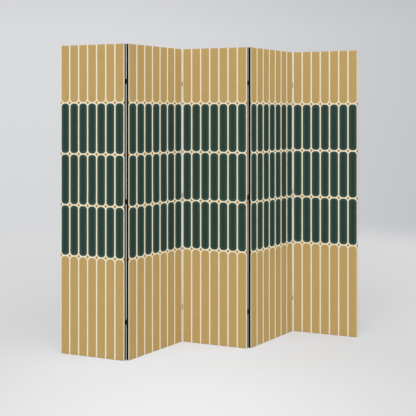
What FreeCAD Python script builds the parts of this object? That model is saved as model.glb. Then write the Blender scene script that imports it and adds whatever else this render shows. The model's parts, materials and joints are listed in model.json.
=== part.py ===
import FreeCAD, Part
import math
import os

# Folding screen of five canvas panels, standing in a zigzag.
# The front faces -Y, Z is up, and the origin lies on the floor under the middle panel's centre.
# A panel is made lying along X, with its front face at y = 0 and its back at y = panel_thickness.

# The whole screen
panel_count = 5
panel_width = 360.0
panel_height = 1600.0
panel_turn = 30.0                     # degrees between each panel and the screen's long line
flat_gap = 1.6                        # between two panels' edges when the screen is opened flat
overrun = 2.0                         # how far every cutting tool passes through

# Timber frame, held together by glued tenons
timber_thickness = 16.0
stile_width = 40.0
rail_height = 40.0
cross_bar_height = 32.0
tenon_length = 24.0
tenon_thickness = 6.0
tenon_shoulder = 6.0
tenon_clearance = 0.1

# Print canvas, folded on to the back, and the lining over its hem
canvas_thickness = 0.5
canvas_hem = 28.0
lining_thickness = 0.4
lining_margin = 4.0

# Staples through lining and hem into the timber
staple_crown = 10.0
staple_wire = 0.7
staple_leg = 8.0
staple_inset = 15.0
staple_pitch = 120.0
staple_clearance = 0.05

# Butt hinges, three in a joint
hinge_height = 25.0
hinge_end_distance = 190.0            # from a panel's end to the nearest hinge's centre
leaf_thickness = 0.6
leaf_depth = 14.0
barrel_radius = 1.3
pivot_offset = 1.4                    # from a panel's face out to the pin's axis
knuckle_gap = 0.2
notch_clearance = 0.3
pin_radius = 0.6
pin_clearance = 0.05
pin_head_radius = 1.0
pin_head_height = 0.5

# Countersunk screws, two in a leaf
screw_spacing = 14.0
screw_length = 12.0
screw_tip_length = 2.5
screw_radius = 1.1
screw_head_radius = 2.2
screw_head_height = 0.6
screw_slot_width = 0.5
screw_slot_depth = 0.3
screw_clearance = 0.05

# Sizes that follow
panel_thickness = canvas_thickness + timber_thickness + canvas_thickness + lining_thickness
hem_face = canvas_thickness + timber_thickness + canvas_thickness
timber_back = canvas_thickness + timber_thickness
frame_width = panel_width - 2 * canvas_thickness
frame_top = panel_height - canvas_thickness
rail_span = frame_width - 2 * stile_width
hinge_heights = [hinge_end_distance, panel_height / 2, panel_height - hinge_end_distance]
knuckle_length = (hinge_height - 2 * knuckle_gap) / 3
up = FreeCAD.Vector(0, 0, 1)


def box(x_ends, y_ends, z_ends):
    """Box between two values on each axis, given in any order."""
    low = FreeCAD.Vector(min(x_ends), min(y_ends), min(z_ends))
    high = FreeCAD.Vector(max(x_ends), max(y_ends), max(z_ends))
    size = high - low
    return Part.makeBox(size.x, size.y, size.z, low)


def grown(ends, clearance):
    """The same stretch, longer by the clearance at both ends."""
    return (min(ends) - clearance, max(ends) + clearance)


def upright_cylinder(radius, x, y, z_ends):
    """Cylinder along Z between two heights."""
    return Part.makeCylinder(radius, max(z_ends) - min(z_ends), FreeCAD.Vector(x, y, min(z_ends)), up)


def save(node, shape, placement):
    """Turns and moves a shape to its place in the standing screen and writes it."""
    placed = shape.copy()
    placed.Placement = placement.multiply(placed.Placement)
    placed.exportStep("parts/" + node + ".step")


# Frame

def rail_heights():
    """Bottom and top of each bar between the stiles."""
    middle = panel_height / 2
    return {
        "bottom_rail": (canvas_thickness, canvas_thickness + rail_height),
        "cross_bar": (middle - cross_bar_height / 2, middle + cross_bar_height / 2),
        "top_rail": (frame_top - rail_height, frame_top),
    }


def tenon_ends(side, z_ends, clearance):
    """Tenon of a bar into one stile, or with a clearance the mortise that holds it."""
    shoulder_x = canvas_thickness + stile_width
    if side == "right":
        shoulder_x = panel_width - shoulder_x
    reach = tenon_length + clearance
    tip_x = shoulder_x - reach if side == "left" else shoulder_x + reach
    middle_y = canvas_thickness + timber_thickness / 2
    y_ends = grown((middle_y - tenon_thickness / 2, middle_y + tenon_thickness / 2), clearance)
    z_cheeks = grown((min(z_ends) + tenon_shoulder, max(z_ends) - tenon_shoulder), clearance)
    return box((shoulder_x, tip_x), y_ends, z_cheeks)


def make_rail(z_ends):
    """Bar between the stiles with a tenon at each end."""
    start_x = canvas_thickness + stile_width
    bar = box((start_x, start_x + rail_span), (canvas_thickness, timber_back), z_ends)
    return bar.fuse([tenon_ends("left", z_ends, 0), tenon_ends("right", z_ends, 0)]).removeSplitter()


def make_stile(side):
    """Upright timber with a mortise for each bar."""
    x_ends = (canvas_thickness, canvas_thickness + stile_width)
    if side == "right":
        x_ends = (panel_width - canvas_thickness, panel_width - canvas_thickness - stile_width)
    stile = box(x_ends, (canvas_thickness, timber_back), (canvas_thickness, frame_top))
    mortises = [tenon_ends(side, z_ends, tenon_clearance) for z_ends in rail_heights().values()]
    return stile.cut(mortises)


# Cloth

def make_canvas():
    """Canvas over the front, round the four edges and hemmed on to the back."""
    outside = box((0, panel_width), (0, hem_face), (0, panel_height))
    frame_space = box(
        (canvas_thickness, canvas_thickness + frame_width),
        (canvas_thickness, timber_back),
        (canvas_thickness, frame_top),
    )
    back_opening = box(
        (canvas_hem, panel_width - canvas_hem),
        (timber_back, hem_face + overrun),
        (canvas_hem, panel_height - canvas_hem),
    )
    return outside.cut([frame_space, back_opening])


def make_lining():
    """Flat lining that covers the back and the canvas hem."""
    return box(
        (lining_margin, panel_width - lining_margin),
        (hem_face, panel_thickness),
        (lining_margin, panel_height - lining_margin),
    )


# Staples

def even_places(start, end, pitch):
    """Places spread evenly from start to end, no further apart than the pitch."""
    steps = math.ceil((end - start) / pitch)
    return [start + (end - start) * step / steps for step in range(steps + 1)]


def staple_places():
    """Centre (x, z) of every staple and whether its crown lies along Z."""
    sides = (staple_inset, panel_width - staple_inset)
    ends = (staple_inset, panel_height - staple_inset)
    first = staple_inset + staple_crown
    along_stile = even_places(first, panel_height - first, staple_pitch)
    along_rail = even_places(first + staple_crown, panel_width - first - staple_crown, staple_pitch)
    places = [(x, z, True) for x in sides for z in along_stile]
    places += [(x, z, False) for z in ends for x in along_rail]
    return places


def staple_legs(x, z, crown_along_z, clearance):
    """Two legs of one staple, or with a clearance the slots that they pass through."""
    legs = []
    half_reach = staple_crown / 2 - staple_wire / 2
    for direction in (-1, 1):
        leg_x = x if crown_along_z else x + direction * half_reach
        leg_z = z + direction * half_reach if crown_along_z else z
        legs.append(box(
            grown((leg_x - staple_wire / 2, leg_x + staple_wire / 2), clearance),
            (panel_thickness - staple_leg - clearance, panel_thickness),
            grown((leg_z - staple_wire / 2, leg_z + staple_wire / 2), clearance),
        ))
    return legs


def make_staple(x, z, crown_along_z):
    """Wire staple with its crown pressed on the lining."""
    half_x = staple_wire / 2 if crown_along_z else staple_crown / 2
    half_z = staple_crown / 2 if crown_along_z else staple_wire / 2
    crown = box(
        (x - half_x, x + half_x),
        (panel_thickness, panel_thickness + staple_wire),
        (z - half_z, z + half_z),
    )
    return crown.fuse(staple_legs(x, z, crown_along_z, 0)).removeSplitter()


# Hinges
# Each is made about its own pin's axis: toward_panel is +1 when the panel lies on the +X side,
# and inward is +1 when the panel's thickness lies on the +Y side of the pin.

def knuckle_ends(index):
    """Bottom and top of one of the three knuckles, from the hinge's mid height."""
    start = -hinge_height / 2 + index * (knuckle_length + knuckle_gap)
    return (start, start + knuckle_length)


def screw_heights():
    """Height of each screw of a leaf, from the hinge's mid height."""
    return (-screw_spacing / 2, screw_spacing / 2)


def screw_body(toward_panel, inward, height, clearance):
    """Countersunk head, shank and point of a screw, or with a clearance the hole for it."""
    head_x = toward_panel * (flat_gap / 2 - leaf_thickness)
    y = inward * (pivot_offset + panel_thickness / 2)
    direction = FreeCAD.Vector(toward_panel, 0, 0)
    start = FreeCAD.Vector(head_x, y, height)
    shank_length = screw_length - screw_head_height - screw_tip_length
    shank_start = start + direction * screw_head_height
    tip_start = shank_start + direction * shank_length
    wide = screw_head_radius + clearance
    thin = screw_radius + clearance
    head = Part.makeCone(wide, thin, screw_head_height, start, direction)
    shank = Part.makeCylinder(thin, shank_length, shank_start, direction)
    tip = Part.makeCone(thin, 0, screw_tip_length + clearance, tip_start, direction)
    return head.fuse([shank, tip])


def make_screw(toward_panel, inward, height):
    """Screw with a cross slot in its head."""
    face_x = toward_panel * (flat_gap / 2 - leaf_thickness)
    slot_x_ends = (face_x - toward_panel * overrun, face_x + toward_panel * screw_slot_depth)
    y = inward * (pivot_offset + panel_thickness / 2)
    long_half = (screw_head_radius + screw_radius) / 2
    thin_half = screw_slot_width / 2
    slots = [
        box(slot_x_ends, (y - long_half, y + long_half), (height - thin_half, height + thin_half)),
        box(slot_x_ends, (y - thin_half, y + thin_half), (height - long_half, height + long_half)),
    ]
    return screw_body(toward_panel, inward, height, 0).cut(slots)


def make_leaf(toward_panel, inward, own_knuckles, other_knuckles):
    """Flat leaf on the panel's edge with its knuckles rolled round the pin."""
    x_ends = (toward_panel * (flat_gap / 2 - leaf_thickness), toward_panel * flat_gap / 2)
    plate = box(x_ends, (0, inward * (pivot_offset + leaf_depth)), (-hinge_height / 2, hinge_height / 2))
    notches = [
        upright_cylinder(barrel_radius + notch_clearance, 0, 0, grown(knuckle_ends(index), knuckle_gap))
        for index in other_knuckles
    ]
    knuckles = [upright_cylinder(barrel_radius, 0, 0, knuckle_ends(index)) for index in own_knuckles]
    bore_ends = grown((-hinge_height / 2, hinge_height / 2), overrun)
    holes = [upright_cylinder(pin_radius + pin_clearance, 0, 0, bore_ends)]
    holes += [screw_body(toward_panel, inward, height, screw_clearance) for height in screw_heights()]
    return plate.cut(notches).fuse(knuckles).cut(holes)


def make_pin():
    """Pin with a peened head on both ends of the barrel."""
    half = hinge_height / 2
    shaft = upright_cylinder(pin_radius, 0, 0, (-half, half))
    top = Part.makeCone(
        pin_head_radius, pin_radius, pin_head_height, FreeCAD.Vector(0, 0, half), up)
    bottom = Part.makeCone(
        pin_head_radius, pin_radius, pin_head_height, FreeCAD.Vector(0, 0, -half), up.negative())
    return shaft.fuse([top, bottom])


# The standing zigzag

def hinge_is_behind(joint):
    """Every other joint, from the first, has its pins behind the screen; the rest are in front."""
    return joint % 2 == 1


def pivot_y(joint):
    """Pin's place across a panel's thickness."""
    return panel_thickness + pivot_offset if hinge_is_behind(joint) else -pivot_offset


def turn_about_z(degrees):
    return FreeCAD.Placement(FreeCAD.Vector(0, 0, 0), FreeCAD.Rotation(up, degrees))


def shift(x, y, z):
    return FreeCAD.Placement(FreeCAD.Vector(x, y, z), FreeCAD.Rotation())


def panel_placements():
    """Place of each panel, worked out from the middle one to both ends over the pins."""
    middle = (panel_count + 1) // 2
    half_pitch = panel_width / 2 + flat_gap / 2
    odd_turn = -panel_turn if middle % 2 == 1 else panel_turn
    places = {middle: turn_about_z(odd_turn).multiply(shift(-panel_width / 2, -panel_thickness / 2, 0))}
    for panel in range(middle + 1, panel_count + 1):
        joint = panel - 1
        bend = 2 * panel_turn if hinge_is_behind(joint) else -2 * panel_turn
        to_pin = shift(panel_width / 2 + half_pitch, pivot_y(joint), 0)
        from_pin = shift(flat_gap / 2, -pivot_y(joint), 0)
        turned = places[joint].multiply(to_pin).multiply(turn_about_z(bend))
        places[panel] = turned.multiply(from_pin)
    for panel in range(middle - 1, 0, -1):
        joint = panel
        bend = -2 * panel_turn if hinge_is_behind(joint) else 2 * panel_turn
        to_pin = shift(-flat_gap / 2, pivot_y(joint), 0)
        from_pin = shift(-panel_width / 2 - half_pitch, -pivot_y(joint), 0)
        turned = places[panel + 1].multiply(to_pin).multiply(turn_about_z(bend))
        places[panel] = turned.multiply(from_pin)
    return places


def hinge_places(panel, joint):
    """Signs and pin places of the hinges of a joint, in the panel's own frame."""
    toward_panel = -1 if joint == panel else 1
    inward = -1 if hinge_is_behind(joint) else 1
    pin_x = panel_width + flat_gap / 2 if joint == panel else -flat_gap / 2
    pins = [FreeCAD.Vector(pin_x, pivot_y(joint), height) for height in hinge_heights]
    return toward_panel, inward, pins


def at_pins(shape, pins):
    """A copy of a shape at each pin's place."""
    copies = []
    for pin in pins:
        copy = shape.copy()
        copy.translate(pin)
        copies.append(copy)
    return copies


os.makedirs("parts", exist_ok=True)
placements = panel_placements()
rails = {name: make_rail(z_ends) for name, z_ends in rail_heights().items()}
stiles = {side: make_stile(side) for side in ("left", "right")}
staples = Part.makeCompound([make_staple(*place) for place in staple_places()])
staple_slots = [slot for place in staple_places() for slot in staple_legs(*place, staple_clearance)]
canvas = make_canvas().cut(staple_slots)
lining = make_lining().cut(staple_slots)
rails = {name: rail.cut(staple_slots) for name, rail in rails.items()}
stiles = {side: stile.cut(staple_slots) for side, stile in stiles.items()}

for panel in range(1, panel_count + 1):
    name = "panel_%d" % panel
    place = placements[panel]
    panel_joints = [joint for joint in (panel - 1, panel) if 0 < joint < panel_count]
    screws = []
    screw_holes = {"left": [], "right": []}
    for joint in panel_joints:
        toward_panel, inward, pins = hinge_places(panel, joint)
        side = "right" if joint == panel else "left"
        for height in screw_heights():
            screws += at_pins(make_screw(toward_panel, inward, height), pins)
            screw_holes[side] += at_pins(screw_body(toward_panel, inward, height, screw_clearance), pins)
    for side, stile in stiles.items():
        drilled = stile.cut(screw_holes[side]) if screw_holes[side] else stile
        save(name + "_" + side + "_stile", drilled, place)
    both_sides = screw_holes["left"] + screw_holes["right"]
    for rail_name, rail in rails.items():
        save(name + "_" + rail_name, rail.cut(both_sides), place)
    save(name + "_print_canvas", canvas.cut(both_sides), place)
    save(name + "_back_lining", lining, place)
    save(name + "_staples", staples, place)
    save(name + "_hinge_screws", Part.makeCompound(screws), place)

for joint in range(1, panel_count):
    name = "hinge_%d" % joint
    toward_panel, inward, pins = hinge_places(joint, joint)
    leaf = make_leaf(toward_panel, inward, (0, 2), (1,))
    save(name + "_left_leaves", Part.makeCompound(at_pins(leaf, pins)), placements[joint])
    save(name + "_pins", Part.makeCompound(at_pins(make_pin(), pins)), placements[joint])
    toward_panel, inward, pins = hinge_places(joint + 1, joint)
    leaf = make_leaf(toward_panel, inward, (1,), (0, 2))
    save(name + "_right_leaves", Part.makeCompound(at_pins(leaf, pins)), placements[joint + 1])
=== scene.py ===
import json
import math

import bpy
import numpy as np
from mathutils import Matrix, Vector


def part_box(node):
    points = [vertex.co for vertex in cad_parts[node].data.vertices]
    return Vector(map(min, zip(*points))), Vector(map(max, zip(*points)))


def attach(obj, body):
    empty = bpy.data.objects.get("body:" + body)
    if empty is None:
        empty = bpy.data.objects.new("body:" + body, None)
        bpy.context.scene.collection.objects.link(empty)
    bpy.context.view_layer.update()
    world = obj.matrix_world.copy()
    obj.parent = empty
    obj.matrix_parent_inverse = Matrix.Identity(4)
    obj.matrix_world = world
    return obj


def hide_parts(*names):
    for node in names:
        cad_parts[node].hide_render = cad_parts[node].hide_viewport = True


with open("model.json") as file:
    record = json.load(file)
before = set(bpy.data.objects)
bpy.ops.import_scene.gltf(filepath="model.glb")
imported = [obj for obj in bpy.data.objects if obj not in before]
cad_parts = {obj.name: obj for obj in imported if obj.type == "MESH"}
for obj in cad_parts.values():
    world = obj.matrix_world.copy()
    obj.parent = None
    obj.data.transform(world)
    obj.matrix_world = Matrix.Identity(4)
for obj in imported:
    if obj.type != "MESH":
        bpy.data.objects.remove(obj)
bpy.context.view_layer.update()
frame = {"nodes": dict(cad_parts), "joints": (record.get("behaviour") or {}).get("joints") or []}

# Lengths are in metres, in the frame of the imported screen: front to -Y, Z up, floor at Z = 0.
# Every panel has its own place: across from its left edge, deep from its printed face, and up.

MM = 0.001

# The screen
PANELS = (1, 2, 3, 4, 5)
PANEL_TURN = math.radians(30)
STILE_WIDTH = 40 * MM
RAIL_HEIGHT = 40 * MM
CROSS_BAR_HEIGHT = 32 * MM

# The canvas. It is 0.05 mm thinner than its solid, and so clears the timber.
CANVAS_THICKNESS = 0.45 * MM
CANVAS_HEM = 28 * MM
CANVAS_SWELL = 0.5 * MM               # how far it stands off a panel's side, near the back
CANVAS_SINK = 0.6 * MM                # how far it lies behind the timber's face where it is free
CANVAS_REACH = 30 * MM                # how quickly it leaves the timber
CANVAS_ROWS = 180
CANVAS_MIDDLE_COLUMNS = 44            # between the corner pleats
PLEAT_COLUMNS = 4
PLEAT_LENGTH = 17 * MM                # folded corner on the top and bottom edges
PLEAT_STEP = 0.4 * MM                 # half of the length over which a pleat ends
FOLD_LINE = 40                        # power that keeps the pleats' step close to the fold
FOLD_RADIUS = 0.6 * MM
FOLD_SEGMENTS = 3
FOLD_ANGLE = math.radians(50)         # sharpest turn that isn't rounded
TURNOVER_DEPTHS = (0.2, 0.45, 0.65, 0.8, 0.92, 1, 1, 1)    # of each loop, in a panel's thickness
TURNOVER_INSETS = (0, 0, 0, 0, 0, 0, 0.5, 1)               # of each loop, in the hem's width
SWELL_START, SWELL_FULL = 0.3, 0.85   # depths where the swell begins and is full
SWELL_EASES, SWELL_LOSS = 0.9, 0.4    # depth where it grows less, and by how much of it

# The lining. It too is 0.05 mm thinner than its solid.
LINING_THICKNESS = 0.35 * MM
LINING_MARGIN = 4 * MM
LINING_COLUMNS = 72
LINING_ROWS = 300
LINING_SINK = 1.6 * MM
SINK_SWING = 0.3                      # how uneven the sink is
SINK_WAVE_UP, SINK_WAVE_ACROSS, SINK_BEND = 61 * MM, 47 * MM, 2
PRESS_DEPTH, PRESS_REACH = 0.12 * MM, 9 * MM               # dent round a staple
PUCKER_HEIGHT, PUCKER_REACH, PUCKER_COUNT = 0.2 * MM, 24 * MM, 7
PUCKER_START, PUCKER_FULL = 2 * MM, 9 * MM                 # from the staple
FLAT_EDGE, FLAT_END = 4 * MM, 12 * MM                      # band along the edge that stays flat
WANDER = 0.3 * MM                     # of the cut edge
WANDER_WAVE_UP, WANDER_WAVE_ACROSS = 13 * MM, 11 * MM
WANDER_SIDE, WANDER_END = 20, 60      # powers that keep it close to the sides and to the ends

# The staples
STAPLE_CROWN = 10 * MM
STAPLE_WIRE = 0.7 * MM
STAPLE_LEG = 8 * MM
STAPLE_BEND = 0.7 * STAPLE_WIRE
STAPLE_BEND_POINTS = 4
WIRE_CORNERS = 8
STAPLE_INSET = 15 * MM
STAPLE_PITCH = 120 * MM
STAPLE_ASKEW = math.radians(3)
STAPLE_SEED = 7

# The print
PRINT_COLUMNS = 7
PRINT_ROWS = 3
PRINT_PITCH = 51 * MM
PRINT_ROW = 264 * MM                  # height of a row of tiles
PRINT_LOWEST_LINE = 510.5 * MM
PRINT_SOFTNESS = 0.15 * MM            # half of the step from one colour to the next
LINE_WIDTH = 7 * MM
DIAMOND_LINE_WIDTH = 6.2 * MM         # cream between a tile and the diamond
TILE_RADIUS = 18 * MM
TILE_FADE = 20 * MM                   # from a tile's outline to its darkest green
MARGIN_START = 0.2 * MM               # how far inside a panel's edge the black margin begins
MARGIN_FRAY = 0.5 * MM
RUBBED_REACH = 1.6 * MM               # how far from an edge the cloth is rubbed
CLOTH_MAP = "cloth"                   # the cloths' own map: places on the flat cloth, in metres

# The weave
THREAD_PITCH = 0.55 * MM              # of the canvas
POINT_PITCH = 1.3 * MM                # of the points pressed in the lining

# Fineness of the finishes' patterns, in features to a metre
SLUBS_ACROSS, SLUBS_ALONG = 900, 25   # a thread
FRAYS = 900.0
RUBS = 420.0
INK_CLOUDS = 14.0
FIBRES = 1500.0
LINING_CLOUDS = 7.0
DUST = 700.0
GROWTH_LINES = 42.0
GROWTH_BENDS = 9.0
PORES = 1600
KNOTS = 7.0
TIMBER_DRAWN = 0.04                   # what is left of a pattern's fineness along a bar
SCRATCHES_ACROSS, SCRATCHES_ALONG = 3000, 220
WORN_PATCHES = 260.0
METAL_GRAIN = 2400.0
METAL_BLOTCHES = 120.0

# Depth of their relief
CLOTH_RELIEF = 0.12 * MM
TIMBER_RELIEF = 0.1 * MM
METAL_RELIEF = 0.02 * MM

# How a pattern darkens or lightens the canvas: its swing, and its darkest. Ink and slubs are
# the cloth's own uneven tone; the weave's height is painted shade in its valleys and painted
# light on its ridges.
INK_TONE = (0.05, 0.975)
SLUB_TONE = (0.24, 0.88)
WEAVE_PAINTED_SHADE = (0.24, 0.86)

# How a metal's grain and blotches change it
SHINE_SWING = 0.18
BLOTCH_LIFT = 1.7

# The floor
FLOOR_RADIUS = 7.0
FLOOR_RINGS = 24
FLOOR_SPOKES = 96
FLOOR_FADE = (2.6, 4.2)               # distances over which it passes into the backdrop
FLOOR_EVENNESS = 0.5                  # share of its paleness that the camera sees without shadow
PAINTED_LIGHT_PLACE = (-0.32, -0.65, 0.0)      # painted pool of light: where the floor is palest
PAINTED_LIGHT_REACH = (0.05, 1.5)
PAINTED_COOL_TINT = (1.012, 1.03, 1.06, 1.0)     # painted tint, paler and bluer, that cancels the gold's warm light on the floor
PAINTED_TINT_AHEAD = (-0.35, 0.0)           # along Y, where it starts before the screen
PAINTED_TINT_BEHIND = (0.08, -0.04)         # and where it ends behind it
PAINTED_TINT_BESIDE = (0.95, 0.75)          # along X, to both sides

# The light
KEY_PLACE, KEY_STRENGTH, KEY_SOFTNESS = (-1.75, -3.0, 3.5), 1.41, math.radians(50)
FILL_PLACE, FILL_STRENGTH, FILL_SOFTNESS = (1.75, -3.0, 3.5), 0.86, math.radians(70)
SOFT_LIGHT = 0.66                     # strength of the light from all round

# The backdrop, by the X and Z of the direction in which it is seen. Its darker right, top and low
# parts are painted shade.
WALL_TURN = (0.02, 1.05)              # X over which the wall darkens to the right, in painted shade
# painted shade at the wall's top and low down on it, and how deep it is
WALL_TOP, WALL_TOP_LOSS = (0.13, 0.2), 0.06
WALL_LOW, WALL_LOW_LOSS = (0.08, -0.17), 0.035
WALL_SEAM = (-0.18, -0.23)            # Z where the wall passes into its foot

# The camera
CAMERA_PLACE = (-0.7976, -3.0504, 1.236)
CAMERA_TURN = math.radians(14)
CAMERA_LENS = 50.5
CAMERA_SENSOR = 36.0
PICTURE_SIZE = 416
HORIZON_ROW = 115.7


# Panels' places

class Panel:
    """One panel's name, turn, size and place, read from its canvas in the frame. Seen from above,
    a panel of width w and thickness t, turned by an angle a, reaches w cos a + t sin a along X
    and w sin a + t cos a along Y. These two are solved for w and t."""

    def __init__(self, number):
        self.number = number
        self.name = "panel_%d" % number
        self.node = self.name + "_print_canvas"
        self.turn = -PANEL_TURN if number % 2 else PANEL_TURN
        low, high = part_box(self.node)
        reach = high - low
        c, s = math.cos(self.turn), abs(math.sin(self.turn))
        self.width = (reach.x * c - reach.y * s) / (c * c - s * s)
        self.thickness = (reach.y * c - reach.x * s) / (c * c - s * s)
        self.height = reach.z
        middle = (low + high) / 2
        self.place = (
            Matrix.Translation((middle.x, middle.y, low.z))
            @ Matrix.Rotation(self.turn, 4, "Z")
            @ Matrix.Translation((-self.width / 2, -self.thickness / 2, 0))
        )

    def to_frame(self, points):
        """Points of the panel, as an (n, 3) array, in the screen's frame."""
        m = np.array(self.place)
        return points @ m[:3, :3].T + m[:3, 3]


panels = [Panel(number) for number in PANELS]


# Colours

def srgb(red, green, blue):
    """Colour of a picture, 0 to 255, as linear light."""
    values = np.array([red, green, blue]) / 255
    linear = np.where(values <= 0.04045, values / 12.92, ((values + 0.055) / 1.055) ** 2.4)
    return (*linear.tolist(), 1.0)


BLACK = (0.0, 0.0, 0.0, 1.0)
WHITE = (1.0, 1.0, 1.0, 1.0)

GOLD = srgb(190, 159, 101)
GREEN = srgb(56, 82, 73)
GREEN_MIDDLE = srgb(41, 59, 51)
CREAM = srgb(241, 232, 206)
DIAMOND = srgb(180, 144, 78)
MARGIN = srgb(15, 15, 16)
RUBBED_CLOTH = srgb(150, 146, 136)

LINING_BLACK = srgb(24, 24, 26)
LINING_FIBRE = srgb(56, 56, 58)
LINING_CLOUD = srgb(66, 66, 67)
LINING_DUST = srgb(120, 116, 108)

PINE_PALE = srgb(226, 196, 148)
PINE_LINE = srgb(196, 154, 102)
PINE_WARM = srgb(208, 172, 122)
PINE_PORE = srgb(160, 120, 76)
PINE_KNOT = srgb(118, 76, 42)

HINGE_BLACK = srgb(24, 24, 25)
HINGE_WORN = srgb(150, 148, 145)
SCREW_BLACK = srgb(28, 28, 29)
SCREW_WORN = srgb(160, 158, 152)
ZINC = srgb(178, 178, 174)
ZINC_WORN = srgb(206, 206, 204)

# painted pool of light on the floor, and the darker floor past it
FLOOR_PAINTED_LIGHT = srgb(232, 233, 235)
FLOOR_ROUND = srgb(209, 209, 210)
# the wall on the left, its painted shade on the right, and its foot
WALL_LEFT = srgb(218, 219, 221)
WALL_RIGHT_PAINTED_SHADE = srgb(177, 179, 183)
WALL_FOOT = srgb(215, 216, 217)


# Nodes

def add(tree, kind, inputs=None, output=0, **settings):
    """Adds a node, links or sets its inputs, and gives back one output."""
    made = tree.nodes.new(kind)
    for name, value in settings.items():
        setattr(made, name, value)
    fill(tree, made, inputs or {})
    return made.outputs[output]


def fill(tree, node, values):
    """Links or sets a node's inputs."""
    for place, value in values.items():
        if isinstance(value, bpy.types.NodeSocket):
            tree.links.new(value, node.inputs[place])
        else:
            node.inputs[place].default_value = value


def calc(tree, operation, *values, clamp=False):
    """One step of arithmetic."""
    inputs = dict(enumerate(values))
    return add(tree, "ShaderNodeMath", inputs, operation=operation, use_clamp=clamp)


def plus(tree, first, second):
    """Sum of two values."""
    return calc(tree, "ADD", first, second)


def minus(tree, first, second):
    """First value less the second."""
    return calc(tree, "SUBTRACT", first, second)


def times(tree, first, second):
    """Product of two values."""
    return calc(tree, "MULTIPLY", first, second)


def over(tree, first, second):
    """First value divided by the second."""
    return calc(tree, "DIVIDE", first, second)


def higher(tree, first, second):
    """Higher of two values."""
    return calc(tree, "MAXIMUM", first, second)


def lower(tree, first, second):
    """Lower of two values."""
    return calc(tree, "MINIMUM", first, second)


def size_of(tree, value):
    """Value without its sign."""
    return calc(tree, "ABSOLUTE", value)


def scaled(tree, value, factor, start):
    """Value times a factor, plus a start."""
    return calc(tree, "MULTIPLY_ADD", value, factor, start)


def mix(tree, share, first, second):
    """Colour between two, at a share."""
    return add(tree, "ShaderNodeMix", {0: share, 6: first, 7: second}, 2, data_type="RGBA")


def tinted(tree, share, colour, tint):
    """Colour multiplied by a tint, at a share."""
    inputs = {0: share, 6: colour, 7: tint}
    return add(tree, "ShaderNodeMix", inputs, 2, data_type="RGBA", blend_type="MULTIPLY")


def ramp(tree, value, low, high, out_low=0.0, out_high=1.0):
    """Value carried smoothly from one range to another, and held at its ends."""
    inputs = {0: value, 1: low, 2: high, 3: out_low, 4: out_high}
    return add(tree, "ShaderNodeMapRange", inputs, interpolation_type="SMOOTHSTEP")


def noise(tree, place, scale, detail=3.0, roughness=0.55, distortion=0.0):
    """Noise from 0 to 1 with features of about 1 / scale metres."""
    inputs = {"Vector": place, "Scale": scale, "Detail": detail, "Roughness": roughness}
    inputs["Distortion"] = distortion
    return add(tree, "ShaderNodeTexNoise", inputs)


def stretched(tree, place, x, y, z):
    """Place with each axis multiplied, so that a pattern is drawn out."""
    return add(tree, "ShaderNodeVectorMath", {0: place, 1: (x, y, z)}, operation="MULTIPLY")


def split(tree, place):
    """The three numbers of a place."""
    made = tree.nodes.new("ShaderNodeSeparateXYZ")
    tree.links.new(place, made.inputs[0])
    return made.outputs


def bump(tree, height, distance):
    """Normal of a surface with a fine relief."""
    return add(tree, "ShaderNodeBump", {"Height": height, "Distance": distance, "Strength": 1.0})


def object_place(tree):
    """Place on an object, in the object's own coordinates."""
    return add(tree, "ShaderNodeTexCoord", output=3)


def effect(name, inputs, outputs):
    """Empty node group with named inputs and outputs."""
    tree = bpy.data.node_groups.new(name, "ShaderNodeTree")
    for sockets, side in ((inputs, "INPUT"), (outputs, "OUTPUT")):
        for socket, kind in sockets.items():
            tree.interface.new_socket(name=socket, in_out=side, socket_type="NodeSocket" + kind)
    given = tree.nodes.new("NodeGroupInput").outputs
    return tree, given, tree.nodes.new("NodeGroupOutput").inputs


def use(tree, group, values):
    """Places an effect in a material and gives back its outputs."""
    made = tree.nodes.new("ShaderNodeGroup")
    made.node_tree = group
    fill(tree, made, values)
    return made.outputs


# Effects

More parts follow.
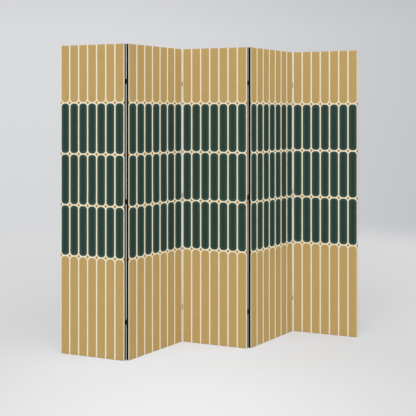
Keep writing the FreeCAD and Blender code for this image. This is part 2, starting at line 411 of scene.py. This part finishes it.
def tile_print_effect():
    """Rounded tiles in columns and rows. With q as the place past the middle of a corner's round,
    across and up, the distance to a tile's outline is the length of q's parts above 0, plus q's
    higher part where both are below 0, less the radius. Inside the outline lies the tile, outside
    it the cream line, and past the line, between four corners, a small diamond."""
    sizes = ("Start", "Pitch", "Row", "Lowest", "Line", "Diamond line", "Radius", "Fade")
    colours = ("Gold", "Green", "Green middle", "Cream", "Diamond")
    inputs = {"Place": "Vector"}
    inputs.update(dict.fromkeys(sizes, "Float"))
    inputs.update(dict.fromkeys(colours, "Color"))
    tree, given, out = effect("tile_print", inputs, {"Color": "Color"})
    across, up, _ = split(tree, given["Place"])
    half_line = times(tree, given["Line"], 0.5)
    half_pitch = times(tree, given["Pitch"], 0.5)
    column = calc(tree, "FRACT", over(tree, minus(tree, across, given["Start"]), given["Pitch"]))
    from_middle = times(tree, size_of(tree, minus(tree, column, 0.5)), given["Pitch"])
    past_side = minus(tree, from_middle, minus(tree, half_pitch, half_line))
    level = over(tree, minus(tree, up, given["Lowest"]), given["Row"])
    nearest = lower(tree, higher(tree, calc(tree, "ROUND", level), 0.0), PRINT_ROWS)
    to_line = times(tree, size_of(tree, minus(tree, level, nearest)), given["Row"])
    past_end = minus(tree, half_line, to_line)
    q_across = plus(tree, past_side, given["Radius"])
    q_up = plus(tree, past_end, given["Radius"])
    inside = lower(tree, higher(tree, q_across, q_up), 0.0)
    out_across = higher(tree, q_across, 0.0)
    out_up = higher(tree, q_up, 0.0)
    squares = scaled(tree, out_across, out_across, times(tree, out_up, out_up))
    outside = calc(tree, "SQRT", squares)
    distance = minus(tree, plus(tree, inside, outside), given["Radius"])
    depth = calc(tree, "DIVIDE", times(tree, distance, -1.0), given["Fade"], clamp=True)
    green = mix(tree, ramp(tree, depth, 0.0, 1.0), given["Green"], given["Green middle"])
    below = calc(tree, "LESS_THAN", level, 0.0)
    above = calc(tree, "GREATER_THAN", level, PRINT_ROWS)
    tile = mix(tree, plus(tree, below, above), green, given["Gold"])
    on_line = ramp(tree, distance, -PRINT_SOFTNESS, PRINT_SOFTNESS)
    past_line = minus(tree, distance, given["Diamond line"])
    on_diamond = ramp(tree, past_line, -PRINT_SOFTNESS, PRINT_SOFTNESS)
    lined = mix(tree, on_line, tile, given["Cream"])
    tree.links.new(mix(tree, on_diamond, lined, given["Diamond"]), out["Color"])
    return tree


def weave_effect():
    """Plain weave. A thread's ridge is the size of a sine across it. Its height is half of that
    ridge, and up to the whole of it where it crosses the ridge of another. Warp and weft lie on
    top by turns, like the fields of a chess board. Slub is how thick the two threads are at a
    place."""
    tree, given, out = effect(
        "plain_weave",
        {"Place": "Vector", "Pitch": "Float"},
        {"Height": "Float", "Slub": "Float"},
    )
    across, up, _ = split(tree, given["Place"])
    warp = over(tree, across, given["Pitch"])
    weft = over(tree, up, given["Pitch"])
    warp_ridge = size_of(tree, calc(tree, "SINE", times(tree, warp, math.pi)))
    weft_ridge = size_of(tree, calc(tree, "SINE", times(tree, weft, math.pi)))
    warp_height = times(tree, warp_ridge, scaled(tree, weft_ridge, 0.5, 0.5))
    weft_height = times(tree, weft_ridge, scaled(tree, warp_ridge, 0.5, 0.5))
    field = plus(tree, calc(tree, "FLOOR", warp), calc(tree, "FLOOR", weft))
    warp_on_top = calc(tree, "GREATER_THAN", calc(tree, "PINGPONG", field, 1.0), 0.5)
    difference = minus(tree, warp_height, weft_height)
    tree.links.new(scaled(tree, difference, warp_on_top, weft_height), out["Height"])
    warp_place = stretched(tree, given["Place"], SLUBS_ACROSS, SLUBS_ALONG, 1)
    weft_place = stretched(tree, given["Place"], SLUBS_ALONG, SLUBS_ACROSS, 1)
    slubs = plus(
        tree, noise(tree, warp_place, 1.0, detail=2.0), noise(tree, weft_place, 1.0, detail=2.0))
    tree.links.new(times(tree, slubs, 0.5), out["Slub"])
    return tree


def metal_wear_effect():
    """Wear of a plated or painted metal: fine upright scratches where there are rubbed patches
    too, as a mask, and an even fine grain."""
    tree, given, out = effect(
        "metal_wear",
        {"Place": "Vector", "Amount": "Float"},
        {"Worn": "Float", "Grain": "Float"},
    )
    drawn = stretched(
        tree, given["Place"], SCRATCHES_ACROSS, SCRATCHES_ACROSS, SCRATCHES_ALONG)
    scratches = ramp(tree, noise(tree, drawn, 1.0, detail=2.0), 0.6, 0.72)
    patches = ramp(tree, noise(tree, given["Place"], WORN_PATCHES, detail=4.0), 0.5, 0.68)
    worn = times(tree, times(tree, scratches, patches), given["Amount"])
    tree.links.new(worn, out["Worn"])
    tree.links.new(noise(tree, given["Place"], METAL_GRAIN), out["Grain"])
    return tree


tile_print = tile_print_effect()
plain_weave = weave_effect()
metal_wear = metal_wear_effect()


# Materials. Noise lies mostly between 0.3 and 0.7, and the two numbers of a ramp over noise say
# where in it a pattern starts and where it is full.

def new_material(name, roughness, metallic=0.0, specular=0.5):
    """Material with one Principled shader, and its tree."""
    material = bpy.data.materials.new(name)
    material.use_nodes = True
    shader = material.node_tree.nodes["Principled BSDF"]
    shader.inputs["Roughness"].default_value = roughness
    shader.inputs["Metallic"].default_value = metallic
    shader.inputs["Specular IOR Level"].default_value = specular
    return material, material.node_tree, shader.inputs


def canvas_material():
    """Printed canvas: the tile print on the face, frayed black margins from the edges on, pale
    rubs along the folds, the uneven threads and relief of a fine plain weave, and painted shade
    in the weave's valleys with painted light on its ridges."""
    material, tree, shader = new_material("printed_canvas", 0.78, specular=0.12)
    place = add(tree, "ShaderNodeUVMap", uv_map=CLOTH_MAP)
    width, height = panels[0].width, panels[0].height
    printed = use(tree, tile_print, {
        "Place": place,
        "Start": (width - PRINT_COLUMNS * PRINT_PITCH) / 2,
        "Pitch": PRINT_PITCH,
        "Row": PRINT_ROW,
        "Lowest": PRINT_LOWEST_LINE,
        "Line": LINE_WIDTH,
        "Diamond line": DIAMOND_LINE_WIDTH,
        "Radius": TILE_RADIUS,
        "Fade": TILE_FADE,
        "Gold": GOLD,
        "Green": GREEN,
        "Green middle": GREEN_MIDDLE,
        "Cream": CREAM,
        "Diamond": DIAMOND,
    })
    woven = use(tree, plain_weave, {"Place": place, "Pitch": THREAD_PITCH})
    across, up, _ = split(tree, place)
    past_side = minus(tree, size_of(tree, minus(tree, across, width / 2)), width / 2)
    past_end = minus(tree, size_of(tree, minus(tree, up, height / 2)), height / 2)
    past_edge = higher(tree, past_side, past_end)
    fray = scaled(tree, noise(tree, place, FRAYS), MARGIN_FRAY, -MARGIN_FRAY / 2)
    on_margin = calc(tree, "GREATER_THAN", plus(tree, past_edge, fray), -MARGIN_START)
    colour = mix(tree, on_margin, printed["Color"], MARGIN)
    near_edge = ramp(tree, size_of(tree, past_edge), RUBBED_REACH, 0.0)
    rubs = ramp(tree, noise(tree, place, RUBS, detail=5.0), 0.62, 0.75, out_high=0.5)
    colour = mix(tree, times(tree, near_edge, rubs), colour, RUBBED_CLOTH)
    ink = noise(tree, place, INK_CLOUDS, detail=4.0)
    tone = scaled(tree, ink, *INK_TONE)
    thread = scaled(tree, woven["Slub"], *SLUB_TONE)
    # painted shade in the weave's valleys and painted light on its ridges, from the weave's
    # height
    weave_painted_shade = scaled(tree, woven["Height"], *WEAVE_PAINTED_SHADE)
    shade = times(tree, times(tree, tone, thread), weave_painted_shade)
    grey = add(tree, "ShaderNodeCombineColor", {0: shade, 1: shade, 2: shade})
    tree.links.new(tinted(tree, 1.0, colour, grey), shader["Base Color"])
    tree.links.new(ramp(tree, ink, 0.2, 0.8, out_low=0.72, out_high=0.84), shader["Roughness"])
    relief = scaled(tree, woven["Slub"], 0.6, woven["Height"])
    tree.links.new(bump(tree, relief, CLOTH_RELIEF), shader["Normal"])
    return material


def lining_material():
    """Black non-woven lining: points pressed in a small grid, loose fibres, faint clouds and
    dust."""
    material, tree, shader = new_material("black_lining", 0.88, specular=0.3)
    place = add(tree, "ShaderNodeUVMap", uv_map=CLOTH_MAP)
    points = use(tree, plain_weave, {"Place": place, "Pitch": POINT_PITCH})
    fibres = noise(tree, place, FIBRES, detail=5.0, roughness=0.7, distortion=1.5)
    clouds = ramp(tree, noise(tree, place, LINING_CLOUDS, detail=2.0), 0.3, 0.7, out_high=0.25)
    dust = ramp(tree, noise(tree, place, DUST, detail=2.0), 0.72, 0.78)
    colour = mix(tree, ramp(tree, fibres, 0.38, 0.66), LINING_BLACK, LINING_FIBRE)
    colour = mix(tree, clouds, colour, LINING_CLOUD)
    colour = mix(tree, times(tree, dust, 0.35), colour, LINING_DUST)
    tree.links.new(colour, shader["Base Color"])
    tree.links.new(ramp(tree, fibres, 0.3, 0.7, out_low=0.82, out_high=0.94), shader["Roughness"])
    relief = scaled(tree, fibres, 0.8, points["Height"])
    tree.links.new(bump(tree, relief, CLOTH_RELIEF), shader["Normal"])
    return material


def timber_material(name, turn, lying):
    """Planed softwood: growth lines drawn out along the bar, fine pores and a few darker
    knots."""
    material, tree, shader = new_material(name, 0.6)
    inputs = {"Vector": object_place(tree), "Rotation": (0.0, 0.0, -turn)}
    turned = add(tree, "ShaderNodeMapping", inputs)
    along_bar = (TIMBER_DRAWN, 1.0, 1.0) if lying else (1.0, 1.0, TIMBER_DRAWN)
    place = stretched(tree, turned, *along_bar)
    inputs = {"Vector": place, "Scale": GROWTH_LINES}
    inputs.update({"Distortion": 5.0, "Detail": 3.0, "Detail Scale": 1.2})
    lines = add(
        tree, "ShaderNodeTexWave", inputs, 1, wave_type="BANDS", bands_direction="DIAGONAL")
    bends = noise(tree, place, GROWTH_BENDS)
    pores = noise(tree, stretched(tree, place, PORES, PORES, PORES), 1.0)
    knots = ramp(tree, noise(tree, turned, KNOTS, detail=1.0), 0.74, 0.8)
    colour = mix(tree, ramp(tree, lines, 0.35, 0.95), PINE_PALE, PINE_LINE)
    colour = mix(tree, ramp(tree, bends, 0.35, 0.7, out_high=0.35), colour, PINE_WARM)
    colour = mix(tree, ramp(tree, pores, 0.6, 0.8, out_high=0.4), colour, PINE_PORE)
    colour = mix(tree, times(tree, knots, 0.8), colour, PINE_KNOT)
    tree.links.new(colour, shader["Base Color"])
    tree.links.new(ramp(tree, lines, 0.2, 0.9, out_low=0.66, out_high=0.52), shader["Roughness"])
    relief = scaled(tree, lines, 0.5, pores)
    tree.links.new(bump(tree, relief, TIMBER_RELIEF), shader["Normal"])
    return material


def metal_material(name, colour, worn_colour, roughness, metallic, amount):
    """Small steel parts: plated or painted, a little blotched, and rubbed bare in fine
    scratches."""
    material, tree, shader = new_material(name, roughness, metallic)
    place = object_place(tree)
    wear = use(tree, metal_wear, {"Place": place, "Amount": amount})
    blotches = ramp(tree, noise(tree, place, METAL_BLOTCHES), 0.35, 0.7, out_high=0.35)
    lifted = tuple(min(1.0, BLOTCH_LIFT * part) for part in colour[:3]) + (1.0,)
    blotched = mix(tree, blotches, colour, lifted)
    tree.links.new(mix(tree, wear["Worn"], blotched, worn_colour), shader["Base Color"])
    shine = scaled(tree, wear["Grain"], SHINE_SWING, roughness - SHINE_SWING / 2)
    tree.links.new(shine, shader["Roughness"])
    bare = scaled(tree, wear["Worn"], 1.0 - metallic, metallic)
    tree.links.new(bare, shader["Metallic"])
    tree.links.new(bump(tree, wear["Grain"], METAL_RELIEF), shader["Normal"])
    return material


canvas_finish = canvas_material()
lining_finish = lining_material()
timber_upright = timber_material("pine_upright", turn=0.0, lying=False)
timber_lying = {
    -PANEL_TURN: timber_material("pine_toward", turn=-PANEL_TURN, lying=True),
    PANEL_TURN: timber_material("pine_away", turn=PANEL_TURN, lying=True),
}
hinge_finish = metal_material(
    "black_plated_steel", HINGE_BLACK, HINGE_WORN, roughness=0.42, metallic=0.35, amount=0.7)
screw_finish = metal_material(
    "black_screw_steel", SCREW_BLACK, SCREW_WORN, roughness=0.36, metallic=0.5, amount=0.9)
staple_finish = metal_material(
    "galvanised_wire", ZINC, ZINC_WORN, roughness=0.34, metallic=1.0, amount=0.5)


# Mesh helpers

def new_piece(name, points, faces, material, uv=None, smooth=True):
    """Mesh object from its points and faces, with its place in its mesh, and a map of the flat
    cloth where each point's place on it is given."""
    mesh = bpy.data.meshes.new(name)
    mesh.from_pydata(points, [], faces)
    mesh.polygons.foreach_set("use_smooth", [smooth] * len(mesh.polygons))
    if uv is not None:
        layer = mesh.uv_layers.new(name=CLOTH_MAP)
        corners = np.zeros(len(mesh.loops), np.int32)
        mesh.loops.foreach_get("vertex_index", corners)
        layer.data.foreach_set("uv", uv[corners].astype(np.float32).ravel())
    mesh.materials.append(material)
    mesh.update()
    made = bpy.data.objects.new(name, mesh)
    bpy.context.scene.collection.objects.link(made)
    return made


def grid_faces(columns, rows):
    """Quads of a grid whose point number is column x rows + row."""
    number = np.arange(columns * rows).reshape(columns, rows)
    quads = [number[:-1, :-1], number[1:, :-1], number[1:, 1:], number[:-1, 1:]]
    return np.stack([q.ravel() for q in quads], 1)


def smooth_step(value, low, high):
    """0 below low, 1 above high, and between them 3 t t - 2 t t t, with t the share of the
    way."""
    t = np.clip((value - low) / (high - low), 0, 1)
    return t * t * (3 - 2 * t)


def thicken(piece, thickness, offset):
    """Gives a sheet its thickness, to the side that offset says."""
    solid = piece.modifiers.new("thickness", "SOLIDIFY")
    solid.thickness = thickness
    solid.offset = offset
    solid.use_even_offset = True


# Canvas

def canvas_columns(width):
    """Places across a panel, with one on each side of a pleat's end."""
    left = np.linspace(0, PLEAT_LENGTH - PLEAT_STEP, PLEAT_COLUMNS)
    middle = np.linspace(
        PLEAT_LENGTH + PLEAT_STEP, width - PLEAT_LENGTH - PLEAT_STEP, CANVAS_MIDDLE_COLUMNS)
    return np.concatenate([left, middle, width - left[::-1]])


def free_share(distance):
    """How free the cloth is at a distance past a bar's edge: 0 on the bar, and past it 1 less a
    share that dies away exponentially."""
    return 1 - np.exp(-np.clip(distance, 0, None) / CANVAS_REACH)


def free_from_bars(panel, across, up):
    """How free a cloth is between the bars: the product of how free it is of each bar."""
    share = free_share(across - STILE_WIDTH) * free_share(panel.width - STILE_WIDTH - across)
    share = share * free_share(up - RAIL_HEIGHT) * free_share(panel.height - RAIL_HEIGHT - up)
    return share * free_share(np.abs(up - panel.height / 2) - CROSS_BAR_HEIGHT / 2)


def canvas_face(panel):
    """Points of the printed face, their places on the flat cloth, and the face as a grid of point
    numbers. It lies on the timber, and between the bars it sinks by how free it is of them. Its
    top and bottom edges are drawn in by one thickness, but for the corner pleats, where the cloth
    lies double: by the thickness times a high power of the share of the way from mid height."""
    x, z = np.meshgrid(
        canvas_columns(panel.width), np.linspace(0, panel.height, CANVAS_ROWS), indexing="ij")
    from_side = np.minimum(x, panel.width - x)
    pleat = 1 - smooth_step(from_side, PLEAT_LENGTH - PLEAT_STEP, PLEAT_LENGTH + PLEAT_STEP)
    share_up = 2 * z / panel.height - 1
    lowered = CANVAS_THICKNESS * (1 - pleat) * np.abs(share_up) ** FOLD_LINE
    sink = CANVAS_SINK * free_from_bars(panel, x, z)
    points = np.stack([x, sink, z - np.sign(share_up) * lowered], 2).reshape(-1, 3)
    flat = np.stack([x, z], 2).reshape(-1, 2)
    return points, flat, np.arange(x.size).reshape(x.shape)


def canvas_turnover(panel, start, start_flat):
    """Loops of points that follow the face's outline down the edges to the back, and inwards for
    the hem, and their places on the flat cloth. A loop is the outline drawn in by its inset, at
    its depth, and on the two sides drawn out by its swell. On the flat cloth it lies past the
    edge by its depth and inset together."""
    center = np.array([panel.width / 2, panel.height / 2])
    shares = (start_flat - center) / center
    on_edge = np.abs(shares) > 1 - 1e-9
    sideways = np.where(on_edge[:, 0], np.sign(shares[:, 0]), 0)
    depth_shares = np.array(TURNOVER_DEPTHS)
    insets = np.array(TURNOVER_INSETS) * CANVAS_HEM
    swells = smooth_step(depth_shares, SWELL_START, SWELL_FULL)
    swells = swells - SWELL_LOSS * smooth_step(depth_shares, SWELL_EASES, 1)
    swells = np.where(insets == 0, CANVAS_SWELL * swells, 0)
    points, flats = [], []
    for depth, inset, swell in zip(depth_shares * panel.thickness, insets, swells):
        drawn_in = start[:, [0, 2]] - shares * inset
        across = drawn_in[:, 0] + sideways * swell
        points.append(np.stack([across, np.full(len(start), depth), drawn_in[:, 1]], 1))
        past = np.where(on_edge, np.sign(shares) * (depth + inset), -shares * inset)
        flats.append(start_flat + past)
    return points, flats


def make_canvas(panel):
    """The printed cloth, in one piece: its face, and round it the loops that wrap the timber."""
    face, flat, number = canvas_face(panel)
    outline = np.concatenate(
        [number[:-1, 0], number[-1, :-1], number[:0:-1, -1], number[0, :0:-1]])
    loops, loop_flats = canvas_turnover(panel, face[outline], flat[outline])
    points = panel.to_frame(np.concatenate([face, *loops]))
    faces = [grid_faces(*number.shape)]
    ring = outline
    for k in range(len(loops)):
        after = number.size + k * len(outline) + np.arange(len(outline))
        faces.append(np.stack([ring, after, np.roll(after, -1), np.roll(ring, -1)], 1))
        ring = after
    piece = new_piece(
        panel.name + "_canvas", points.tolist(), np.concatenate(faces).tolist(), canvas_finish,
        np.concatenate([flat, *loop_flats]))
    rounding = piece.modifiers.new("folded edges", "BEVEL")
    rounding.width = FOLD_RADIUS
    rounding.segments = FOLD_SEGMENTS
    rounding.limit_method = "ANGLE"
    rounding.angle_limit = FOLD_ANGLE
    thicken(piece, CANVAS_THICKNESS, -1)
    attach(piece, panel.name)
    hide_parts(panel.node)


# Staples and lining

def even_places(start, end, pitch):
    """Places spread evenly from start to end, no further apart than the pitch."""
    return np.linspace(start, end, math.ceil((end - start) / pitch) + 1)


def staple_places(panel):
    """Across, up and turn of every staple of a panel; a staple on a stile stands upright."""
    first = STAPLE_INSET + STAPLE_CROWN
    on_stile = even_places(first, panel.height - first, STAPLE_PITCH)
    on_rail = even_places(first + STAPLE_CROWN, panel.width - first - STAPLE_CROWN, STAPLE_PITCH)
    stiles = (STAPLE_INSET, panel.width - STAPLE_INSET)
    rails = (STAPLE_INSET, panel.height - STAPLE_INSET)
    places = [(x, z, math.pi / 2) for x in stiles for z in on_stile]
    places += [(x, z, 0.0) for z in rails for x in on_rail]
    return np.array(places)


def staple_form():
    """One staple about its crown's middle: a wire of eight sides carried up a leg, round a
    shoulder, along the crown and down the other leg. A point is the path's point plus a corner of
    the wire's section, and the caps close both legs."""
    half = STAPLE_CROWN / 2 - STAPLE_WIRE / 2
    angles = np.linspace(0, math.pi / 2, STAPLE_BEND_POINTS)
    left = np.stack(
        [-half + STAPLE_BEND - STAPLE_BEND * np.cos(angles),
         -STAPLE_BEND + STAPLE_BEND * np.sin(angles)], 1)
    left = np.concatenate([[[-half, -STAPLE_LEG]], left])
    path = np.concatenate([left, left[::-1] * [-1, 1]])
    path[:, 1] += STAPLE_WIRE / 2
    ahead = np.gradient(path, axis=0)
    ahead /= np.linalg.norm(ahead, axis=1)[:, None]
    side = np.stack([-ahead[:, 1], ahead[:, 0]], 1)
    corners = (np.arange(WIRE_CORNERS) + 0.5) * 2 * math.pi / WIRE_CORNERS
    to_corner = STAPLE_WIRE / 2 / math.cos(math.pi / WIRE_CORNERS)
    out, wide = np.cos(corners) * to_corner, np.sin(corners) * to_corner
    x = path[:, None, 0] + side[:, None, 0] * out
    y = path[:, None, 1] + side[:, None, 1] * out
    z = np.broadcast_to(wide, x.shape)
    points = np.stack([x, y, z], 2).reshape(-1, 3)
    number = np.arange(x.size).reshape(x.shape)
    beside = np.roll(number, -1, axis=1)
    tube = np.stack([number[:-1], beside[:-1], beside[1:], number[1:]], 2).reshape(-1, 4)
    return points, tube.tolist() + [number[0, ::-1].tolist(), number[-1].tolist()]


def make_staples(panel):
    """All staples of a panel: the one form, turned and moved to each place, each a little
    askew."""
    form, faces = staple_form()
    places = staple_places(panel)
    chance = np.random.default_rng(STAPLE_SEED + panel.number)
    turns = places[:, 2] + chance.uniform(-STAPLE_ASKEW, STAPLE_ASKEW, len(places))
    c, s = np.cos(turns)[:, None], np.sin(turns)[:, None]
    x = places[:, :1] + form[:, 0] * c - form[:, 2] * s
    z = places[:, 1:2] + form[:, 0] * s + form[:, 2] * c
    y = np.broadcast_to(panel.thickness + LINING_THICKNESS + form[:, 1], x.shape)
    points = panel.to_frame(np.stack([x, y, z], 2).reshape(-1, 3))
    starts = [staple * len(form) for staple in range(len(places))]
    all_faces = [[start + index for index in face] for start in starts for face in faces]
    piece = new_piece(
        panel.name + "_staple_row", points.tolist(), all_faces, staple_finish, smooth=False)
    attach(piece, panel.name)
    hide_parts(panel.name + "_staples")


def lining_depth(panel, x, z):
    """Depth of the lining. Between the bars it sinks like the canvas, a little unevenly in waves.
    Each staple presses a round dent, and throws up puckers: a cosine of the angle round the
    staple, which dies away from it and shows where it is above 0. A band along the edge stays
    flat."""
    waves = np.sin(z / SINK_WAVE_UP + SINK_BEND * np.sin(x / SINK_WAVE_ACROSS))
    sink = LINING_SINK * free_from_bars(panel, x, z) * (1 + SINK_SWING * waves)
    dents = np.zeros_like(x)
    puckers = np.zeros_like(x)
    for place_x, place_z, turn in staple_places(panel):
        away = np.hypot(x - place_x, z - place_z)
        angle = np.arctan2(z - place_z, x - place_x)
        dents += PRESS_DEPTH * np.exp(-(away / PRESS_REACH) ** 2)
        reach = np.exp(-away / PUCKER_REACH) * smooth_step(away, PUCKER_START, PUCKER_FULL)
        puckers += PUCKER_HEIGHT * reach * np.cos(PUCKER_COUNT * (angle - turn))
    from_edge = np.minimum(np.minimum(x, panel.width - x), np.minimum(z, panel.height - z))
    inner = smooth_step(from_edge, FLAT_EDGE, FLAT_END)
    return panel.thickness - sink - dents * inner + np.clip(puckers, 0, None) * inner


def make_lining(panel):
    """The lining: a grid over the back, at its depth. Its cut edge wanders in a wave along each
    side."""
    x, z = np.meshgrid(
        np.linspace(LINING_MARGIN, panel.width - LINING_MARGIN, LINING_COLUMNS),
        np.linspace(LINING_MARGIN, panel.height - LINING_MARGIN, LINING_ROWS), indexing="ij")
    near_side = np.abs(2 * x / panel.width - 1) ** WANDER_SIDE
    near_end = np.abs(2 * z / panel.height - 1) ** WANDER_END
    cut_x = x + WANDER * np.sin(z / WANDER_WAVE_UP) * near_side
    cut_z = z + WANDER * np.sin(x / WANDER_WAVE_ACROSS) * near_end
    depth = lining_depth(panel, x, z)
    points = panel.to_frame(np.stack([cut_x, depth, cut_z], 2).reshape(-1, 3))
    faces = grid_faces(*x.shape)[:, ::-1]
    piece = new_piece(
        panel.name + "_lining", points.tolist(), faces.tolist(), lining_finish,
        np.stack([x, z], 2).reshape(-1, 2))
    thicken(piece, LINING_THICKNESS, 1)
    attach(piece, panel.name)
    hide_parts(panel.name + "_back_lining")


def finish_node(node, material):
    """Gives a CAD node its material."""
    mesh = frame["nodes"][node].data
    mesh.materials.clear()
    mesh.materials.append(material)


for panel in panels:
    make_canvas(panel)
    make_lining(panel)
    make_staples(panel)
    for stile in ("_left_stile", "_right_stile"):
        finish_node(panel.name + stile, timber_upright)
    for bar in ("_top_rail", "_bottom_rail", "_cross_bar"):
        finish_node(panel.name + bar, timber_lying[panel.turn])
    finish_node(panel.name + "_hinge_screws", screw_finish)

for joint in frame["joints"]:
    hinge = joint["name"].removesuffix("_fold")
    for part in ("_left_leaves", "_right_leaves", "_pins"):
        finish_node(hinge + part, hinge_finish)


# Stage, light and camera

def is_seen(tree):
    """1 for what the camera sees, itself or mirrored or through glass, and 0 for what only lights
    the room."""
    paths = tree.nodes.new("ShaderNodeLightPath").outputs
    mirrored = higher(tree, paths["Is Glossy Ray"], paths["Is Transmission Ray"])
    return higher(tree, paths["Is Camera Ray"], mirrored)


def floor_material():
    """Pale floor that fades out with distance. It has a painted pool of light, palest at one
    place and darker away from it, and in front of the screen a painted tint, paler and bluer,
    that cancels the warm light the gold casts on it. Part of its paleness is seen without shadow,
    and the rest is lit."""
    material, tree, shader = new_material("pale_floor", 0.85, specular=0.1)
    place = object_place(tree)
    across, away, _ = split(tree, place)
    inputs = {0: place, 1: PAINTED_LIGHT_PLACE}
    # painted pool of light, palest at one place and darker away from it
    from_painted_light = add(tree, "ShaderNodeVectorMath", inputs, 1, operation="DISTANCE")
    colour = mix(tree, ramp(tree, from_painted_light, *PAINTED_LIGHT_REACH), FLOOR_PAINTED_LIGHT, FLOOR_ROUND)
    # painted tint, paler and bluer, against the gold's warm light in front of the screen
    in_front = times(tree, ramp(tree, away, *PAINTED_TINT_AHEAD), ramp(tree, away, *PAINTED_TINT_BEHIND))
    painted_cool_tint = times(tree, in_front, ramp(tree, size_of(tree, across), *PAINTED_TINT_BESIDE))
    colour = tinted(tree, painted_cool_tint, colour, PAINTED_COOL_TINT)
    tree.links.new(mix(tree, 1 - FLOOR_EVENNESS, colour, BLACK), shader["Base Color"])
    tree.links.new(colour, shader["Emission Color"])
    tree.links.new(times(tree, is_seen(tree), FLOOR_EVENNESS), shader["Emission Strength"])
    distance = add(tree, "ShaderNodeVectorMath", {0: place}, 1, operation="LENGTH")
    tree.links.new(ramp(tree, distance, *FLOOR_FADE, 1.0, 0.0), shader["Alpha"])
    return material


def make_floor():
    """Flat disc of rings and spokes round the screen's middle."""
    distance, angle = np.meshgrid(
        np.linspace(0, FLOOR_RADIUS, FLOOR_RINGS + 1)[1:],
        np.linspace(0, 2 * math.pi, FLOOR_SPOKES, endpoint=False), indexing="ij")
    x, y = distance * np.cos(angle), distance * np.sin(angle)
    points = np.stack([x, y, np.zeros_like(angle)], 2).reshape(-1, 3)
    number = np.arange(x.size).reshape(x.shape)
    beside = np.roll(number, -1, axis=1)
    quads = np.stack([number[:-1], number[1:], beside[1:], beside[:-1]], 2).reshape(-1, 4)
    faces = quads.tolist() + [number[0].tolist()]
    floor = new_piece("floor", points.tolist(), faces, floor_material(), smooth=False)


def make_lamp(name, place, strength, softness):
    """Wide and soft light from the direction of a place, even over the whole screen."""
    lamp = bpy.data.lights.new(name, "SUN")
    lamp.energy = strength
    lamp.angle = softness
    made = bpy.data.objects.new(name, lamp)
    made.location = place
    made.rotation_euler = Vector(place).to_track_quat("Z", "Y").to_euler()
    bpy.context.scene.collection.objects.link(made)


def make_world():
    """Soft white light from all round. The camera and reflections see a pale grey backdrop
    instead: a wall with painted shade, darker to the right, above and near its foot, and the
    paler foot."""
    world = bpy.data.worlds.new("studio")
    bpy.context.scene.world = world
    world.use_nodes = True
    tree = world.node_tree
    tree.nodes.clear()
    direction = add(tree, "ShaderNodeTexCoord", output=0)
    across, _, up = split(tree, direction)
    # painted shade: the wall darker to the right, above and near its foot
    wall = mix(tree, ramp(tree, across, *WALL_TURN), WALL_LEFT, WALL_RIGHT_PAINTED_SHADE)
    darker = higher(
        tree, ramp(tree, up, *WALL_TOP, out_high=WALL_TOP_LOSS),
        ramp(tree, up, *WALL_LOW, out_high=WALL_LOW_LOSS))
    wall = mix(tree, darker, wall, BLACK)
    backdrop = mix(tree, ramp(tree, up, *WALL_SEAM), wall, WALL_FOOT)
    light = add(tree, "ShaderNodeBackground", {"Color": WHITE, "Strength": SOFT_LIGHT})
    shown = add(tree, "ShaderNodeBackground", {"Color": backdrop, "Strength": 1.0})
    both = add(tree, "ShaderNodeMixShader", {0: is_seen(tree), 1: light, 2: shown})
    tree.links.new(both, tree.nodes.new("ShaderNodeOutputWorld").inputs["Surface"])


def make_camera():
    """Level camera at eye height. Its frame is shifted down, so that uprights stay upright."""
    lens = bpy.data.cameras.new("camera")
    lens.lens = CAMERA_LENS
    lens.sensor_width = CAMERA_SENSOR
    lens.sensor_fit = "HORIZONTAL"
    lens.shift_y = -(PICTURE_SIZE / 2 - HORIZON_ROW) / PICTURE_SIZE
    lens.dof.use_dof = False
    made = bpy.data.objects.new("camera", lens)
    made.location = CAMERA_PLACE
    made.rotation_euler = (math.pi / 2, 0, -CAMERA_TURN)
    bpy.context.scene.collection.objects.link(made)
    bpy.context.scene.camera = made


make_floor()
make_world()
make_lamp("key", KEY_PLACE, KEY_STRENGTH, KEY_SOFTNESS)
make_lamp("fill", FILL_PLACE, FILL_STRENGTH, FILL_SOFTNESS)
make_camera()
bpy.context.scene.view_settings.view_transform = "Standard"
